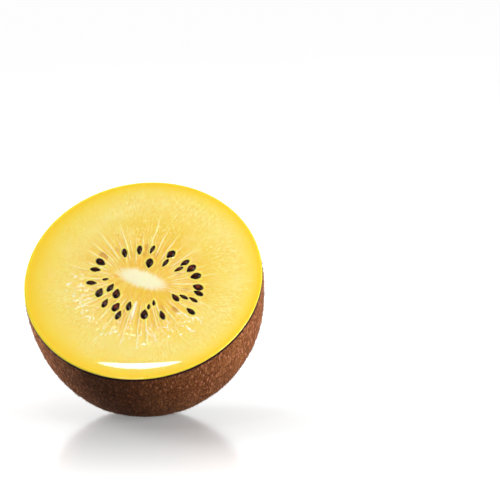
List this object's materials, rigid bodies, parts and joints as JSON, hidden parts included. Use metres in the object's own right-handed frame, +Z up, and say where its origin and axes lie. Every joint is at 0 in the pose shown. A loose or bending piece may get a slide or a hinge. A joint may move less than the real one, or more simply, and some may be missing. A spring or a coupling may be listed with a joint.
{
  "type": "golden kiwi fruit half",
  "caption": "Golden kiwi fruit cut across, lying on its brown skin with the cut face tipped up: pale core, dark seeds round it and fine rays in yellow flesh.",
  "frame": {"origin": "middle of the small flat spot of skin that the half rests on, at table level", "axes": "+Z up; the cut face looks up towards -Y, 52 degrees from level; +X to the right as seen from in front of the cut face"},
  "size_m": [0.0518, 0.0497, 0.0509],
  "materials": {
    "kiwi_skin": "dry brown skin with a short soft down and fine pale specks",
    "kiwi_flesh": "wet, translucent golden yellow flesh with fine pale rays",
    "kiwi_core": "dense cream core, moist",
    "kiwi_seed": "hard, glossy, nearly black with a brown cast"
  },
  "bodies": {
    "root": {"kiwi_half": "kiwi_skin"}
  },
  "joints": []
}
